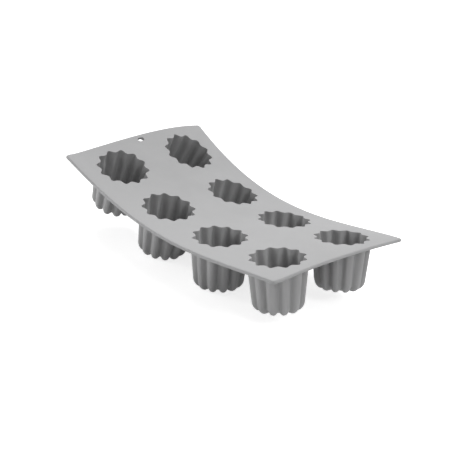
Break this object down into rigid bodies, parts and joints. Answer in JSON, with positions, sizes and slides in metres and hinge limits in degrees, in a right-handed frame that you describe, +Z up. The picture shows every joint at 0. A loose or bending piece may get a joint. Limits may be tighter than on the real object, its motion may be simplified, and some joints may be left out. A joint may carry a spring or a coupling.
{
  "type": "silicone canele mould",
  "caption": "Flexible silicone baking mould: a thin rectangular sheet with fluted tapered cups hanging below it in two columns and a small hanging hole at one end.",
  "frame": {"origin": "centre of the bounding box's underside, on the surface that the middle cups stand on", "axes": "+X along the sheet towards the end with the hanging hole, +Y across it to the left column of cups, +Z up"},
  "size_m": [0.302, 0.179, 0.0866],
  "materials": {
    "sheet": "matte silicone",
    "cup_wall": "matte silicone",
    "cup_base": "matte silicone"
  },
  "bodies": {
    "row_1": {"deck_row_1": "sheet", "flex_web_12": "sheet", "cup_left_1": "cup_wall", "cup_right_1": "cup_wall"},
    "row_2": {"deck_row_2": "sheet", "flex_web_23": "sheet", "cup_left_2": "cup_wall", "cup_right_2": "cup_wall"},
    "row_3": {"deck_row_3": "sheet", "flex_web_34": "sheet", "cup_left_3": "cup_wall", "cup_right_3": "cup_wall"},
    "row_4": {"deck_row_4": "sheet", "cup_left_4": "cup_wall", "cup_right_4": "cup_wall"},
    "base_left_1": {"cup_base_left_1": "cup_base"},
    "base_right_1": {"cup_base_right_1": "cup_base"},
    "base_left_2": {"cup_base_left_2": "cup_base"},
    "base_right_2": {"cup_base_right_2": "cup_base"},
    "base_left_3": {"cup_base_left_3": "cup_base"},
    "base_right_3": {"cup_base_right_3": "cup_base"},
    "base_left_4": {"cup_base_left_4": "cup_base"},
    "base_right_4": {"cup_base_right_4": "cup_base"}
  },
  "joints": [
    {"name": "bend_12", "type": "hinge", "parent": "row_2", "child": "row_1", "pos_m": [0.07403, 0, 0.05775], "axis": [0, -1, 0], "range_deg": [-28, 45], "stiffness_Nm_per_rad": 1.2, "deforming": ["flex_web_12"]},
    {"name": "bend_23", "type": "hinge", "parent": "row_2", "child": "row_3", "pos_m": [-0.00086, 0, 0.04885], "axis": [0, 1, 0], "range_deg": [-28, 45], "stiffness_Nm_per_rad": 1.2, "deforming": ["flex_web_23"]},
    {"name": "bend_34", "type": "hinge", "parent": "row_3", "child": "row_4", "pos_m": [-0.07593, 0, 0.05585], "axis": [0, 1, 0], "range_deg": [-19, 45], "stiffness_Nm_per_rad": 1.2, "deforming": ["flex_web_34"]},
    {"name": "push_left_1", "type": "slide", "parent": "row_1", "child": "base_left_1", "axis": [-0.2808, 0.1006, 0.9545], "range_m": [0, 0.012], "stiffness_N_per_m": 500},
    {"name": "push_right_1", "type": "slide", "parent": "row_1", "child": "base_right_1", "axis": [-0.3718, -0.0187, 0.9281], "range_m": [0, 0.012], "stiffness_N_per_m": 500},
    {"name": "push_left_2", "type": "slide", "parent": "row_2", "child": "base_left_2", "axis": [-0.1042, 0.0448, 0.9935], "range_m": [0, 0.012], "stiffness_N_per_m": 500},
    {"name": "push_right_2", "type": "slide", "parent": "row_2", "child": "base_right_2", "axis": [-0.1266, -0.0375, 0.9912], "range_m": [0, 0.012], "stiffness_N_per_m": 500},
    {"name": "push_left_3", "type": "slide", "parent": "row_3", "child": "base_left_3", "axis": [0.091, 0.0433, 0.9949], "range_m": [0, 0.012], "stiffness_N_per_m": 500},
    {"name": "push_right_3", "type": "slide", "parent": "row_3", "child": "base_right_3", "axis": [0.1042, -0.0377, 0.9938], "range_m": [0, 0.012], "stiffness_N_per_m": 500},
    {"name": "push_left_4", "type": "slide", "parent": "row_4", "child": "base_left_4", "axis": [0.1663, 0.0595, 0.9843], "range_m": [0, 0.012], "stiffness_N_per_m": 500},
    {"name": "push_right_4", "type": "slide", "parent": "row_4", "child": "base_right_4", "axis": [0.1783, -0.0254, 0.9836], "range_m": [0, 0.012], "stiffness_N_per_m": 500}
  ]
}
